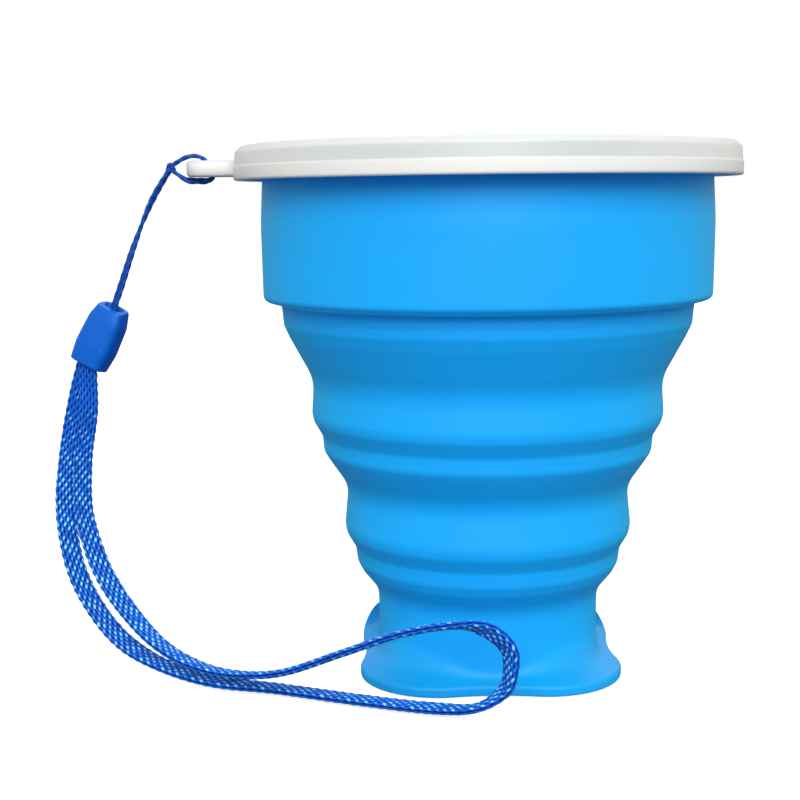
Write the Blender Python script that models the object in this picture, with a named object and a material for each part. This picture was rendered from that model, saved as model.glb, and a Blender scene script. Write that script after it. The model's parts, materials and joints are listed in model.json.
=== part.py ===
"""Collapsible travel cup: a silicone cup of stepped rings that fold into each other, a press-on lid
with a lug, and a lanyard of thin cord, moulded sleeve and woven wrist strap.

The cup stands open on its foot. Its axis is Z, the table is Z = 0, and the lid's lug points to -X.
Lengths below are in millimetres and are turned into metres by MM.
"""

import math

import bmesh
import bpy
from mathutils import Matrix, Vector

MM = 0.001
SEGMENTS = 48           # facets round the cup
GAP = 0.3               # clearance between neighbouring solids

# Driving dimensions of the cup, all as (radius, height) or plain lengths
LID_R = 44.0            # outer radius of the lid's skirt
LID_TOP = 92.4
LID_SKIRT_BOTTOM = 86.6
LID_WALL = 1.5
LID_PLATE = 1.3
PLUG_DEPTH = 4.0        # how far the lid's seal ring reaches into the mouth
RIM_TOP = LID_TOP - LID_PLATE - GAP
RIM_FLANGE_R = 42.0
RIM_FLANGE_HEIGHT = 2.4
BAND_WALL = 2.2         # stiff rings
WEB_WALL = 1.3          # flexible folds between the rings

RIM_RING = {"top": (39.0, 85.8), "bulge": (39.5, 79.0), "bottom": (39.3, 66.6)}
MIDDLE_RING = {"top": (30.6, 51.0), "bulge": (31.2, 45.6), "bottom": (30.1, 42.2)}
LOWER_RING = {"top": (24.8, 32.4), "bulge": (25.6, 25.4), "bottom": (24.5, 22.3)}
STEM_R = 19.7
STEM_TOP = 13.3

# The foot: four lobes at 45 degrees to the axes, joined by shallow hollows
LOBE_CENTRE = 9.3       # distance of a lobe's centre from both axes
LOBE_R = 13.7
FOOT_DIP = 22.2         # distance of each hollow from the cup's axis
FOOT_EDGE = 2.0         # thickness of the flange at its edge
FOOT_SLOPE = 0.5        # rise of the flange towards the stem
FLOOR = 3.2             # thickness of the cup's floor

# The lid's lug and the lanyard
LUG_Z = 88.75
LUG_THICK = 2.5
LUG_HALF_WIDTH = 4.0
LUG_HOLE_X = -48.4
LUG_HOLE_R = 1.6
LUG_BAR_X = -51.2       # middle of the bar that the cord loops round
CORD_R = 0.45
CORD_LOOP_R = 2.15
SLEEVE_TOP = Vector((-65.75, 0.0, 65.0))
SLEEVE_BOTTOM = Vector((-71.0, 0.0, 54.5))
SLEEVE_YAW = 20.0       # turn of the sleeve about its own length, in degrees
SLEEVE_SLOT = 1.7       # width of the slot in the sleeve's top
SLEEVE_SLOT_DEPTH = 3.4
SLEEVE_PIVOT_DEPTH = 1.9
STRAP_WIDTH = 3.1
STRAP_THICK = 1.4
STRAP_END_APART = 1.9   # distance between the strap's two ends at the sleeve
STRAP_ROOT_DROP = 1.9   # how far the strap's pivot is below the sleeve's mouth


def clear_scene():
    for thing in list(bpy.data.objects):
        bpy.data.objects.remove(thing, do_unlink=True)


def material(name, colour, roughness, metallic=0.0, alpha=1.0):
    made = bpy.data.materials.new(name)
    made.use_nodes = True
    shader = made.node_tree.nodes["Principled BSDF"]
    shader.inputs["Base Color"].default_value = (*colour, 1.0)
    shader.inputs["Roughness"].default_value = roughness
    shader.inputs["Metallic"].default_value = metallic
    shader.inputs["Alpha"].default_value = alpha
    return made


def finish_object(name, bm, surface, origin=(0.0, 0.0, 0.0)):
    """Turns a bmesh in millimetres into a named object in metres, with its origin at origin."""
    bmesh.ops.recalc_face_normals(bm, faces=bm.faces)
    origin = Vector(origin)
    bmesh.ops.translate(bm, verts=bm.verts, vec=-origin)
    bmesh.ops.scale(bm, verts=bm.verts, vec=(MM, MM, MM))
    mesh = bpy.data.meshes.new(name)
    bm.to_mesh(mesh)
    bm.free()
    mesh.materials.append(surface)
    mesh.shade_smooth()
    mesh.set_sharp_from_angle(angle=math.radians(35))
    made = bpy.data.objects.new(name, mesh)
    made.location = origin * MM
    bpy.context.scene.collection.objects.link(made)
    return made


def lathe(profile, closed=True, segments=SEGMENTS):
    """A bmesh turned from a profile of (radius, height) points. An open profile starts and ends on the axis."""
    bm = bmesh.new()
    verts = [bm.verts.new((r, 0.0, z)) for r, z in profile]
    edges = [bm.edges.new(pair) for pair in zip(verts, verts[1:])]
    if closed:
        edges.append(bm.edges.new((verts[-1], verts[0])))
    bmesh.ops.spin(
        bm, geom=verts + edges, cent=(0, 0, 0), axis=(0, 0, 1), angle=2 * math.pi, steps=segments
    )
    bmesh.ops.remove_doubles(bm, verts=bm.verts, dist=1e-4)
    return bm


def lofted(rows, cap=True):
    """A bmesh skinned over rows of points. Rows are closed loops with equal numbers of points."""
    bm = bmesh.new()
    rings = [[bm.verts.new(p) for p in row] for row in rows]
    pairs = list(zip(rings, rings[1:]))
    if not cap:
        pairs.append((rings[-1], rings[0]))
    for low, high in pairs:
        for i in range(len(low)):
            j = (i + 1) % len(low)
            bm.faces.new((low[i], low[j], high[j], high[i]))
    if cap:
        bm.faces.new(list(reversed(rings[0])))
        bm.faces.new(rings[-1])
    return bm


def boolean(target, cutter, operation):
    """Adds a Boolean with a cutter or a guide that isn't part of the model."""
    cutter.hide_render = True
    cutter.display_type = "WIRE"
    change = target.modifiers.new(operation.title() + "_" + cutter.name, "BOOLEAN")
    change.operation = operation
    change.solver = "EXACT"
    change.object = cutter


# ---------------------------------------------------------------- the silicone cup

def ring_wall(ring, bottom_gap_r):
    """Outer and inner side of a stiff ring below its top, as a closed profile."""
    top_r, top_z = ring["top"]
    bulge_r, bulge_z = ring["bulge"]
    low_r, low_z = ring["bottom"]
    outer = [
        (top_r, top_z),
        ((top_r + bulge_r) / 2 + 0.15, (top_z + bulge_z) / 2),
        (bulge_r, bulge_z),
        (bulge_r - 0.1, (bulge_z + low_z) / 2),
        (low_r, low_z),
        (low_r - bottom_gap_r, low_z - 0.7),
    ]
    inner = [
        (low_r - bottom_gap_r - BAND_WALL + 0.8, low_z - 0.2),
        (bulge_r - BAND_WALL, bulge_z),
        (top_r - BAND_WALL + 0.5, top_z + 0.3),
    ]
    return outer + inner


def make_rim_ring(surface):
    """The top ring, with the flange that the lid snaps over."""
    wall = ring_wall(RIM_RING, 0.5)
    inner_r = RIM_RING["bulge"][0] - BAND_WALL
    flange_low = RIM_TOP - RIM_FLANGE_HEIGHT
    flange = [
        (inner_r, RIM_TOP),
        (RIM_FLANGE_R - 0.5, RIM_TOP),
        (RIM_FLANGE_R, RIM_TOP - 0.5),
        (RIM_FLANGE_R, flange_low + 0.4),
        (RIM_FLANGE_R - 0.4, flange_low),
        (RIM_RING["top"][0] + 0.6, flange_low),
    ]
    profile = flange + wall[:-1]
    return finish_object("rim_ring", lathe(profile), surface)


def make_ring(name, ring, surface):
    return finish_object(name, lathe(ring_wall(ring, 0.4)), surface)


def make_fold(name, upper, lower, ledge, surface):
    """A flexible fold: a ledge turning in under the ring above, a lip, then a cone down to the ring below.
    ledge is the width of the ledge."""
    top_r, top_z = upper["bottom"][0] - 0.7, upper["bottom"][1] - 0.7 - GAP
    end_r, end_z = lower["top"][0], lower["top"][1] + GAP
    drop = top_z - end_z
    outer = [
        (top_r, top_z),
        (top_r - 0.7, top_z - 0.05 * drop),
        (top_r - ledge, top_z - 0.1 * drop),
        (top_r - ledge - 0.1, top_z - 0.18 * drop),
        (top_r - ledge - 0.7, top_z - 0.36 * drop),
        (end_r + 0.5, end_z + 0.07 * drop),
        (end_r, end_z),
    ]
    inner = [(r - WEB_WALL, z + 0.35) for r, z in reversed(outer[1:-1])]
    profile = outer + [(end_r - WEB_WALL, end_z)] + inner + [(top_r - WEB_WALL - 0.5, top_z)]
    return finish_object(name, lathe(profile), surface)


def foot_radius(angle):
    """Distance of the foot's edge from the cup's axis: a lobe's circle, or the hollow's wide arc."""
    quarter = math.pi / 2
    off = abs((angle + quarter / 2) % quarter - quarter / 2)
    lobe_distance = LOBE_CENTRE * math.sqrt(2)
    hollow_r = ((LOBE_CENTRE**2 + (FOOT_DIP - LOBE_CENTRE) ** 2) - LOBE_R**2) / (
        2 * (LOBE_R - (FOOT_DIP - LOBE_CENTRE))
    )
    hollow_centre = FOOT_DIP + hollow_r
    across = Vector((hollow_centre - LOBE_CENTRE, -LOBE_CENTRE)).normalized() * LOBE_R
    turn = math.atan2(LOBE_CENTRE + across.y, LOBE_CENTRE + across.x)
    if off < turn:
        return hollow_centre * math.cos(off) - math.sqrt(
            hollow_r**2 - (hollow_centre * math.sin(off)) ** 2
        )
    lobe = math.pi / 4 - off
    return lobe_distance * math.cos(lobe) + math.sqrt(
        LOBE_R**2 - (lobe_distance * math.sin(lobe)) ** 2
    )


def foot_row(share, z, rise=0.0, segments=60):
    """A loop of the foot: share 1 is the flange's edge and 0 the stem. rise adds height towards the stem."""
    row = []
    for i in range(segments):
        angle = 2 * math.pi * i / segments
        edge = foot_radius(angle)
        r = STEM_R + (edge - STEM_R) * share
        lift = rise * FOOT_SLOPE * (edge - r)
        row.append((r * math.cos(angle), r * math.sin(angle), z + lift))
    return row


def circle_row(r, z, segments=60):
    return [
        (r * math.cos(2 * math.pi * i / segments), r * math.sin(2 * math.pi * i / segments), z)
        for i in range(segments)
    ]


def make_foot(surface):
    """The cup's bottom: stem, floor and lobed flange."""
    inside = STEM_R - BAND_WALL
    rows = [
        foot_row(0.92, 0.0),
        foot_row(1.0, 0.4),
        foot_row(1.0, FOOT_EDGE - 0.4),
        foot_row(0.94, FOOT_EDGE),
        foot_row(0.5, FOOT_EDGE, rise=0.9),
        foot_row(0.06, FOOT_EDGE + 0.2, rise=1.0),
        circle_row(STEM_R, 8.5),
        circle_row(STEM_R, STEM_TOP - 0.3),
        circle_row(inside, STEM_TOP - 0.3),
        circle_row(inside, FLOOR + 2.0),
        circle_row(inside - 0.7, FLOOR + 0.6),
        circle_row(inside - 2.2, FLOOR),
    ]
    return finish_object("foot_base", lofted(rows), surface)


# ---------------------------------------------------------------- the lid

def make_lid(surface):
    """Lid plate with a raised edge, snap skirt and seal ring, and the lug for the lanyard."""
    plug_r = RIM_RING["bulge"][0] - BAND_WALL - GAP
    skirt_in = LID_R - LID_WALL
    under = LID_TOP - LID_PLATE
    profile = [
        (0.0, LID_TOP - 0.5),
        (LID_R - 7.0, LID_TOP - 0.5),
        (LID_R - 6.2, LID_TOP),
        (LID_R - 2.0, LID_TOP),
        (LID_R - 0.8, LID_TOP - 0.8),
        (LID_R - 0.3, LID_TOP - 2.0),
        (LID_R, LID_SKIRT_BOTTOM + 0.5),
        (LID_R - 0.3, LID_SKIRT_BOTTOM),
        (skirt_in - 0.1, LID_SKIRT_BOTTOM),
        (skirt_in - 0.1, LID_SKIRT_BOTTOM + 0.6),
        (skirt_in, LID_SKIRT_BOTTOM + 1.0),
        (skirt_in, under),
        (plug_r, under),
        (plug_r, under - PLUG_DEPTH),
        (plug_r - 1.2, under - PLUG_DEPTH),
        (plug_r - 1.4, under),
        (0.0, under),
    ]
    lid = finish_object("lid", lathe(profile, closed=False, segments=60), surface)
    boolean(lid, make_lug(), "UNION")
    boolean(lid, make_lug_hole(), "DIFFERENCE")
    return lid


def make_lug():
    """A flat tongue with a round nose and softened edges; a guide joined into the lid."""
    root = -(LID_R - 0.7)
    edge = 0.5

    def outline(inset, z):
        half = LUG_HALF_WIDTH - inset
        points = [(root, half, z)]
        for i in range(15):
            a = math.radians(90 + 180 * i / 14)
            points.append((LUG_HOLE_X + half * math.cos(a), half * math.sin(a), z))
        return points + [(root, -half, z)]

    low, high = LUG_Z - LUG_THICK / 2, LUG_Z + LUG_THICK / 2
    rows = [outline(edge, low), outline(0.0, low + edge), outline(0.0, high - edge), outline(edge, high)]
    return finish_object("lug_guide", lofted(rows), guide_surface())


def make_lug_hole():
    """A round bar as large as the lug's hole; a cutter taken out of the lid."""
    rows = []
    for z in (LUG_Z - LUG_THICK, LUG_Z + LUG_THICK):
        turns = [2 * math.pi * i / 16 for i in range(16)]
        rows.append([(LUG_HOLE_X + LUG_HOLE_R * math.cos(a), LUG_HOLE_R * math.sin(a), z) for a in turns])
    return finish_object("lug_hole_cutter", lofted(rows), guide_surface())


def guide_surface():
    return bpy.data.materials.get("guide") or material("guide", (0.5, 0.5, 0.5), 0.5)


# ---------------------------------------------------------------- the lanyard

def spline(points, steps):
    """Points along a smooth curve through the given points, with steps stretches between neighbours."""
    ends = [2 * points[0] - points[1]] + points + [2 * points[-1] - points[-2]]
    made = []
    for a, b, c, d in zip(ends, ends[1:], ends[2:], ends[3:]):
        for i in range(steps):
            t = i / steps
            made.append(
                0.5 * ((2 * b) + (c - a) * t + (2 * a - 5 * b + 4 * c - d) * t**2
                       + (3 * b - a - 3 * c + d) * t**3)
            )
    made.append(points[-1])
    return made


def tangents(path):
    ahead = path[1:] + [2 * path[-1] - path[-2]]
    behind = [2 * path[0] - path[1]] + path[:-1]
    return [(a - b).normalized() for a, b in zip(ahead, behind)]


def swept(path, widths, half_width, half_thick, sides):
    """A bmesh swept along a path. widths gives the section's wide direction at each point."""
    rows = []
    for point, along, wide in zip(path, tangents(path), widths):
        wide = (wide - along * wide.dot(along)).normalized()
        thin = along.cross(wide)
        row = []
        for i in range(sides):
            a = 2 * math.pi * (i + 0.5) / sides
            row.append(point + wide * half_width * math.cos(a) + thin * half_thick * math.sin(a))
        rows.append(row)
    return lofted(rows)


def sleeve_axis():
    """Unit vectors of the sleeve: along it from bottom to top, across its width, and its depth."""
    along = (SLEEVE_TOP - SLEEVE_BOTTOM).normalized()
    across = Vector((0.0, 1.0, 0.0)).cross(along)
    across = Matrix.Rotation(math.radians(-SLEEVE_YAW), 3, along) @ across
    return along, across, along.cross(across)


def sleeve_pivot():
    """Where the cord ends inside the sleeve's slot."""
    return SLEEVE_TOP - sleeve_axis()[0] * SLEEVE_PIVOT_DEPTH


def strap_pivot():
    """Where the strap leaves the sleeve's mouth."""
    return SLEEVE_BOTTOM - sleeve_axis()[0] * STRAP_ROOT_DROP


def make_cord(surface):
    """The thin cord: an eye round the lug's bar, a knot, and a doubled tail down to the sleeve."""
    centre = Vector((LUG_BAR_X, 0.0, LUG_Z))
    rows = []
    for i in range(20):
        turn = 2 * math.pi * i / 20
        outward = Vector((math.cos(turn), 0.0, math.sin(turn)))
        row = []
        for j in range(8):
            a = 2 * math.pi * j / 8
            reach = CORD_LOOP_R + CORD_R * math.cos(a)
            row.append(centre + outward * reach + Vector((0.0, CORD_R * math.sin(a), 0.0)))
        rows.append(row)
    cord = finish_object("cord", lofted(rows, cap=False), surface, origin=centre)
    knot = centre + Vector((-CORD_LOOP_R - 0.9, 0.0, 0.0))
    bm = bmesh.new()
    bmesh.ops.create_icosphere(bm, subdivisions=2, radius=1.1)
    bmesh.ops.translate(bm, verts=bm.verts, vec=knot)
    boolean(cord, finish_object("knot_guide", bm, surface), "UNION")
    path = spline([
        knot + Vector((-0.2, 0.0, -0.3)),
        Vector((-58.6, 0.0, 83.3)),
        Vector((-61.9, 0.0, 76.0)),
        Vector((-64.4, 0.0, 68.8)),
        sleeve_pivot(),
    ], 4)
    across = sleeve_axis()[1]
    tail = swept(path, [across] * len(path), 1.5 * CORD_R, CORD_R, 8)
    boolean(cord, finish_object("tail_guide", tail, surface), "UNION")
    return cord


def make_sleeve(surface):
    """The moulded sleeve: tapered, with soft edges, a mouth for the strap and a slot for the cord."""
    along, across, depth = sleeve_axis()
    length = (SLEEVE_TOP - SLEEVE_BOTTOM).length

    def section(height, half_width, half_depth, power=0.55):
        row = []
        for i in range(24):
            a = 2 * math.pi * i / 24
            x, y = math.cos(a), math.sin(a)
            x = math.copysign(abs(x) ** power, x) * half_width
            y = math.copysign(abs(y) ** power, y) * half_depth
            row.append(SLEEVE_BOTTOM + along * height + across * x + depth * y)
        return row

    rows = [
        section(length, 1.8, 1.4),
        section(length - 0.5, 2.3, 1.9),
        section(length * 0.6, 2.7, 2.1),
        section(0.4, 3.0, 2.2),
        section(0.0, 2.8, 2.0),
        section(0.0, 2.4, 1.6),
        section(3.6, 2.3, 1.5),
        section(4.0, 1.8, 1.0),
        section(length - SLEEVE_SLOT_DEPTH - 0.6, 0.9, 0.5),
        section(length - SLEEVE_SLOT_DEPTH + 0.6, 0.8, 0.5),
        section(length, 0.8, 0.5),
    ]
    sleeve = finish_object("connector_sleeve", lofted(rows, cap=False), surface, origin=sleeve_pivot())
    bm = bmesh.new()
    bmesh.ops.create_cube(bm, size=1.0)
    bmesh.ops.scale(bm, verts=bm.verts, vec=(2 * length, SLEEVE_SLOT, 2 * SLEEVE_SLOT_DEPTH))
    turn = Matrix((across, depth, along)).transposed().to_4x4()
    bmesh.ops.transform(bm, matrix=Matrix.Translation(SLEEVE_TOP) @ turn, verts=bm.verts)
    boolean(sleeve, finish_object("slot_cutter", bm, surface), "DIFFERENCE")
    return sleeve


def make_crimp(surface):
    """The small flattened metal tube inside the sleeve that clamps the strap's ends."""
    along, across, depth = sleeve_axis()
    middle = SLEEVE_BOTTOM + along * 1.9

    def section(height, half_width, half_depth):
        row = []
        for i in range(16):
            a = 2 * math.pi * i / 16
            reach = across * half_width * math.cos(a) + depth * half_depth * math.sin(a)
            row.append(middle + along * height + reach)
        return row

    rows = [
        section(-1.4, 1.7, 0.8),
        section(1.4, 1.7, 0.8),
        section(1.4, 1.4, 0.5),
        section(-1.4, 1.4, 0.5),
    ]
    return finish_object("strap_crimp", lofted(rows, cap=False), surface)


def make_strap(surface):
    """The woven wrist strap, one loop whose two ends meet at the sleeve's mouth."""
    along, across, depth = sleeve_axis()
    root = strap_pivot()
    # Each stop is a point of the loop's middle line and the direction of the strap's width there.
    # It runs down from the sleeve, along the table, stands up in a bend before the foot and comes back.
    side = (0.95, -0.3, 0.0)
    flat = (0.0, 1.0, 0.0)
    stops = [
        (root + depth * STRAP_END_APART / 2 - across * 0.5, across),
        ((-73.5, 1.0, 46.0), across),
        ((-75.5, 0.5, 36.5), side),
        ((-76.0, -0.5, 27.5), side),
        ((-75.0, -2.0, 18.5), (0.95, -0.3, 0.3)),
        ((-72.0, -3.5, 11.0), (0.8, -0.4, 0.5)),
        ((-66.5, -6.5, 5.0), (0.5, -0.3, 0.8)),
        ((-58.5, -11.5, 2.6), (0.3, 0.2, 0.95)),
        ((-48.0, -16.5, 1.6), (0.25, 0.9, 0.4)),
        ((-36.5, -20.0, 1.1), flat),
        ((-22.0, -25.5, 1.0), flat),
        ((-11.0, -29.0, 1.2), flat),
        ((-4.0, -34.0, 2.8), flat),
        ((0.5, -35.0, 5.5), (-0.8, 0.5, 0.5)),
        ((2.0, -35.0, 10.0), (-1.0, 0.2, -0.1)),
        ((1.0, -35.0, 12.8), (-0.8, 0.2, -0.6)),
        ((-2.0, -35.0, 15.4), (-0.5, 0.5, -0.7)),
        ((-7.0, -34.5, 16.2), (-0.1, 0.9, -0.3)),
        ((-16.0, -33.0, 14.4), flat),
        ((-25.5, -29.5, 10.2), flat),
        ((-36.0, -24.0, 5.4), flat),
        ((-45.0, -19.0, 3.8), (0.25, 0.9, 0.35)),
        ((-52.0, -16.0, 4.0), (0.4, 0.5, 0.75)),
        ((-58.0, -13.0, 6.0), (0.4, 0.1, 0.8)),
        ((-64.0, -8.5, 9.0), (0.7, -0.3, 0.65)),
        ((-68.5, -4.5, 14.5), (0.85, -0.3, 0.45)),
        ((-71.0, -2.5, 21.0), (0.95, -0.3, 0.25)),
        ((-72.0, -1.5, 28.5), side),
        ((-71.5, -1.0, 38.5), side),
        ((-70.7, -1.0, 46.5), across),
        (root - depth * STRAP_END_APART / 2 + across * 0.5, across),
    ]
    path = spline([Vector(point) for point, _ in stops], 3)
    widths = spline([Vector(wide) for _, wide in stops], 3)
    strap = swept(path, widths, STRAP_WIDTH / 2, STRAP_THICK / 2, 8)
    return finish_object("wrist_strap", strap, surface, origin=root)


def build():
    clear_scene()
    silicone = (0.035, 0.44, 0.94)
    rim_surface = material("silicone_rim", silicone, 0.45)
    middle_surface = material("silicone_middle", silicone, 0.45)
    lower_surface = material("silicone_lower", silicone, 0.45)
    foot_surface = material("silicone_foot", silicone, 0.45)
    fold_surface = material("silicone_fold", (0.02, 0.30, 0.78), 0.5)
    lid_surface = material("milky_plastic", (0.83, 0.86, 0.84), 0.35, alpha=0.9)
    cord_surface = material("cord_nylon", (0.01, 0.08, 0.42), 0.6)
    strap_surface = material("woven_strap", (0.01, 0.12, 0.60), 0.7)
    sleeve_surface = material("sleeve_plastic", (0.01, 0.16, 0.68), 0.35)
    crimp_surface = material("crimp_steel", (0.6, 0.6, 0.62), 0.3, metallic=1.0)

    make_rim_ring(rim_surface)
    make_ring("middle_ring", MIDDLE_RING, middle_surface)
    make_ring("lower_ring", LOWER_RING, lower_surface)
    make_foot(foot_surface)
    stem = {"top": (STEM_R, STEM_TOP)}
    make_fold("upper_fold", RIM_RING, MIDDLE_RING, 1.9, fold_surface)
    make_fold("middle_fold", MIDDLE_RING, LOWER_RING, 1.3, fold_surface)
    make_fold("lower_fold", LOWER_RING, stem, 1.4, fold_surface)
    make_lid(lid_surface)
    make_cord(cord_surface)
    make_sleeve(sleeve_surface)
    make_crimp(crimp_surface)
    make_strap(strap_surface)


build()
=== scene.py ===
"""Looks of the collapsible travel cup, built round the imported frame.

Shapes are worked out in millimetres from the boxes of the frame's nodes and turned into metres by MM.
"""

import json
import math

import bmesh
import bpy
import numpy as np
from mathutils import Matrix, Vector


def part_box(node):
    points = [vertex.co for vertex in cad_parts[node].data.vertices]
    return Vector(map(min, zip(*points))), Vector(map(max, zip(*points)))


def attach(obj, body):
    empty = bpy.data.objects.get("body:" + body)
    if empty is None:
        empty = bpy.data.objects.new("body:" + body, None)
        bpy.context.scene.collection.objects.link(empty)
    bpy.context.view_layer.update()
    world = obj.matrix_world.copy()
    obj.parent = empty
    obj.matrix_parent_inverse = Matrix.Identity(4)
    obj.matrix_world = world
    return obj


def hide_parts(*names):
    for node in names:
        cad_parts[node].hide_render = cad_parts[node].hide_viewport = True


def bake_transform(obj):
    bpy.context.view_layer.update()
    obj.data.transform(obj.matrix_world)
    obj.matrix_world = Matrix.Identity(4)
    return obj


MM = 0.001
TURNS = 176                 # facets round the cup

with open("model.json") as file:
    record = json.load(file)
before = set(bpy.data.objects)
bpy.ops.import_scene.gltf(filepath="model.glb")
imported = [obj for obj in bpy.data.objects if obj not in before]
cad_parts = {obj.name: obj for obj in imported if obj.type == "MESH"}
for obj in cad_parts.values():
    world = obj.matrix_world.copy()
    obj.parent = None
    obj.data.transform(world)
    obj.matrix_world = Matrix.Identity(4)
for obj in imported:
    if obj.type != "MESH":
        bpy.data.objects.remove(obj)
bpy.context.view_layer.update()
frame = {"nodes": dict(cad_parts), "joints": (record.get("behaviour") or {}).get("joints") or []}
joints = {joint["name"]: joint for joint in frame["joints"]}


def box_mm(node):
    """Lowest and highest corner of a node at rest."""
    low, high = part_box(node)
    return low / MM, high / MM


def pivot_mm(joint):
    return Vector(joints[joint]["pos_m"]) / MM


def axis_of(joint):
    return Vector(joints[joint]["axis"]).normalized()


rim_low, rim_high = box_mm("rim_ring")
middle_low, middle_high = box_mm("middle_ring")
lower_low, lower_high = box_mm("lower_ring")
_, foot_high = box_mm("foot_base")
lid_low, lid_high = box_mm("lid")

# Silicone
WALL = 2.2
RIM_WALL_R = rim_high.x - 2.5       # outer radius of the top ring below its flange
STEM_R = 19.7
FLOOR_TOP = 3.2                     # upper side of the cup's floor

# The foot's four lobes
LOBE_R = 13.7
LOBE_CENTRE = foot_high.x - LOBE_R  # the lobes' circles are centred on (+-LOBE_CENTRE, +-LOBE_CENTRE)
LOBE_TIP = LOBE_CENTRE * math.sqrt(2) + LOBE_R
FOOT_DIP = foot_high.x - 0.8        # distance of the edge from the axis midway between two lobes
FOOT_EDGE = 1.8                     # thickness of the edge
FOOT_SLOPE = 0.28                   # rise of the flange towards the stem
FOOT_CURL = 4.5                     # rise of the tips of the two back lobes, which are bent up
CURL_IN = 0.15                      # share of that rise by which they also move inwards
CURL_FROM = 22.6                    # radius where the bend starts: inside it the folded lower ring rests

# The lid and its lug
LID_R = lid_high.x
LID_EDGE = 0.5                      # height of the raised edge above the recessed top
SKIRT_WALL = 1.5
PLATE = 1.3
PLUG_R = RIM_WALL_R - WALL - 0.3
SEAL_DEPTH = 4.0
LUG_NOSE_X = lid_low.x
LUG_HALF_WIDTH = 4.0
LUG_THICK = 2.8
LUG_EDGE_R = 0.75
LUG_Z = pivot_mm("cord_swing").z
LUG_HOLE_R = 1.6
LUG_HOLE_MOUTH_R = 2.2

# The lanyard
CORD_R = 0.35
CORD_STEP = 0.14                    # spacing of points along the cord
CORD_TWIST = 0.55                   # half turns of the two plies in one millimetre
SLEEVE_PIVOT_INSET = 1.9            # both pivots lie this far below the sleeve's ends
STRAP_WIDTH = 3.6
STRAP_THICK = 1.2
STRAP_APART = 0.8                   # distance of each strap end from the sleeve's middle
STRAP_STEP = 0.2                    # spacing of points along a yarn
YARNS = 12                          # columns of stitches round the strap
STITCH = 1.6                        # length of a stitch


# ---------------------------------------------------------------- shapes

def rounded(corners, arc_steps=6):
    """Points of an outline with its corners rounded. Each corner is (radius, height, fillet), or without
    a fillet stays sharp. A fillet takes less than half of each side, so that neighbours have room."""
    made = [np.array(corners[0][:2], float)]
    for before, corner, after in zip(corners, corners[1:], corners[2:]):
        a, b, c = (np.array(p[:2], float) for p in (before, corner, after))
        if len(corner) < 3:
            made.append(b)
            continue
        to_a, to_c = a - b, c - b
        room = 0.48 * min(np.linalg.norm(to_a), np.linalg.norm(to_c))
        to_a, to_c = to_a / np.linalg.norm(to_a), to_c / np.linalg.norm(to_c)
        half = math.acos(max(-1.0, min(1.0, float(to_a @ to_c)))) / 2
        cut = min(room, corner[2] / max(math.tan(half), 1e-6))
        start, end = b + to_a * cut, b + to_c * cut
        for i in range(arc_steps + 1):
            t = i / arc_steps
            made.append((1 - t) ** 2 * start + 2 * t * (1 - t) * b + t**2 * end)
    made.append(np.array(corners[-1][:2], float))
    return np.array(made)


def divided(points, parts):
    """Each stretch of an outline divided into equal parts."""
    made = []
    for a, b in zip(points, points[1:]):
        for i in range(parts):
            made.append(a + (b - a) * i / parts)
    made.append(points[-1])
    return np.array(made)


def spaced(points, spacing):
    """An outline divided so that no two points are further apart than spacing."""
    made = [points[0]]
    for a, b in zip(points, points[1:]):
        parts = max(1, math.ceil(np.linalg.norm(b - a) / spacing))
        for i in range(1, parts + 1):
            step = a + (b - a) * i / parts
            if np.linalg.norm(step - made[-1]) > 1e-4:
                made.append(step)
    return np.array(made)


def smooth_curve(points, steps):
    """Points along a curve through the given points, with steps stretches between neighbours."""
    p = [np.array(point, float) for point in points]
    p = [2 * p[0] - p[1]] + p + [2 * p[-1] - p[-2]]
    made = []
    for a, b, c, d in zip(p, p[1:], p[2:], p[3:]):
        for i in range(steps):
            t = i / steps
            made.append(0.5 * (2 * b + (c - a) * t + (2 * a - 5 * b + 4 * c - d) * t**2
                               + (3 * b - a - 3 * c + d) * t**3))
    made.append(p[-2])
    return np.array(made)


def even(path, extras, spacing):
    """A path resampled at equal spacing, with values that go along with it."""
    run = np.concatenate([[0.0], np.cumsum(np.linalg.norm(np.diff(path, axis=0), axis=1))])
    stops = np.linspace(0.0, run[-1], max(3, int(run[-1] / spacing)))

    def pick(values):
        return np.stack([np.interp(stops, run, column) for column in values.T], 1)

    return pick(path), [pick(values) for values in extras], stops


def flattened(angles, half_wide, half_thick, power):
    """Points of a rounded rectangle; a power of 1 makes it an ellipse."""
    x = np.sign(np.cos(angles)) * np.abs(np.cos(angles)) ** power * half_wide
    y = np.sign(np.sin(angles)) * np.abs(np.sin(angles)) ** power * half_thick
    return x, y


def unit(vectors):
    return vectors / np.linalg.norm(vectors, axis=-1, keepdims=True)


def grid_faces(rows, points, first=0, wrap_rows=False):
    """Faces over rows of closed loops, as an array of vertex numbers."""
    r = np.arange(rows if wrap_rows else rows - 1)[:, None]
    p = np.arange(points)[None, :]
    r2, p2 = (r + 1) % rows, (p + 1) % points
    corners = [r * points + p, r * points + p2, r2 * points + p2, r2 * points + p]
    corners = np.stack([np.broadcast_to(c, (len(r), points)) for c in corners], -1)
    return corners.reshape(-1, 4) + first


def make_object(name, points, faces, surface, sharp=None):
    """A named mesh object from points in millimetres, with its faces turned outwards."""
    mesh = bpy.data.meshes.new(name)
    mesh.from_pydata((np.asarray(points, float) * MM).tolist(), [], [list(f) for f in faces])
    bm = bmesh.new()
    bm.from_mesh(mesh)
    bmesh.ops.recalc_face_normals(bm, faces=bm.faces)
    bm.to_mesh(mesh)
    bm.free()
    mesh.shade_smooth()
    if sharp:
        mesh.set_sharp_from_angle(angle=math.radians(sharp))
    mesh.materials.append(surface)
    made = bpy.data.objects.new(name, mesh)
    bpy.context.scene.collection.objects.link(made)
    return made


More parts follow.
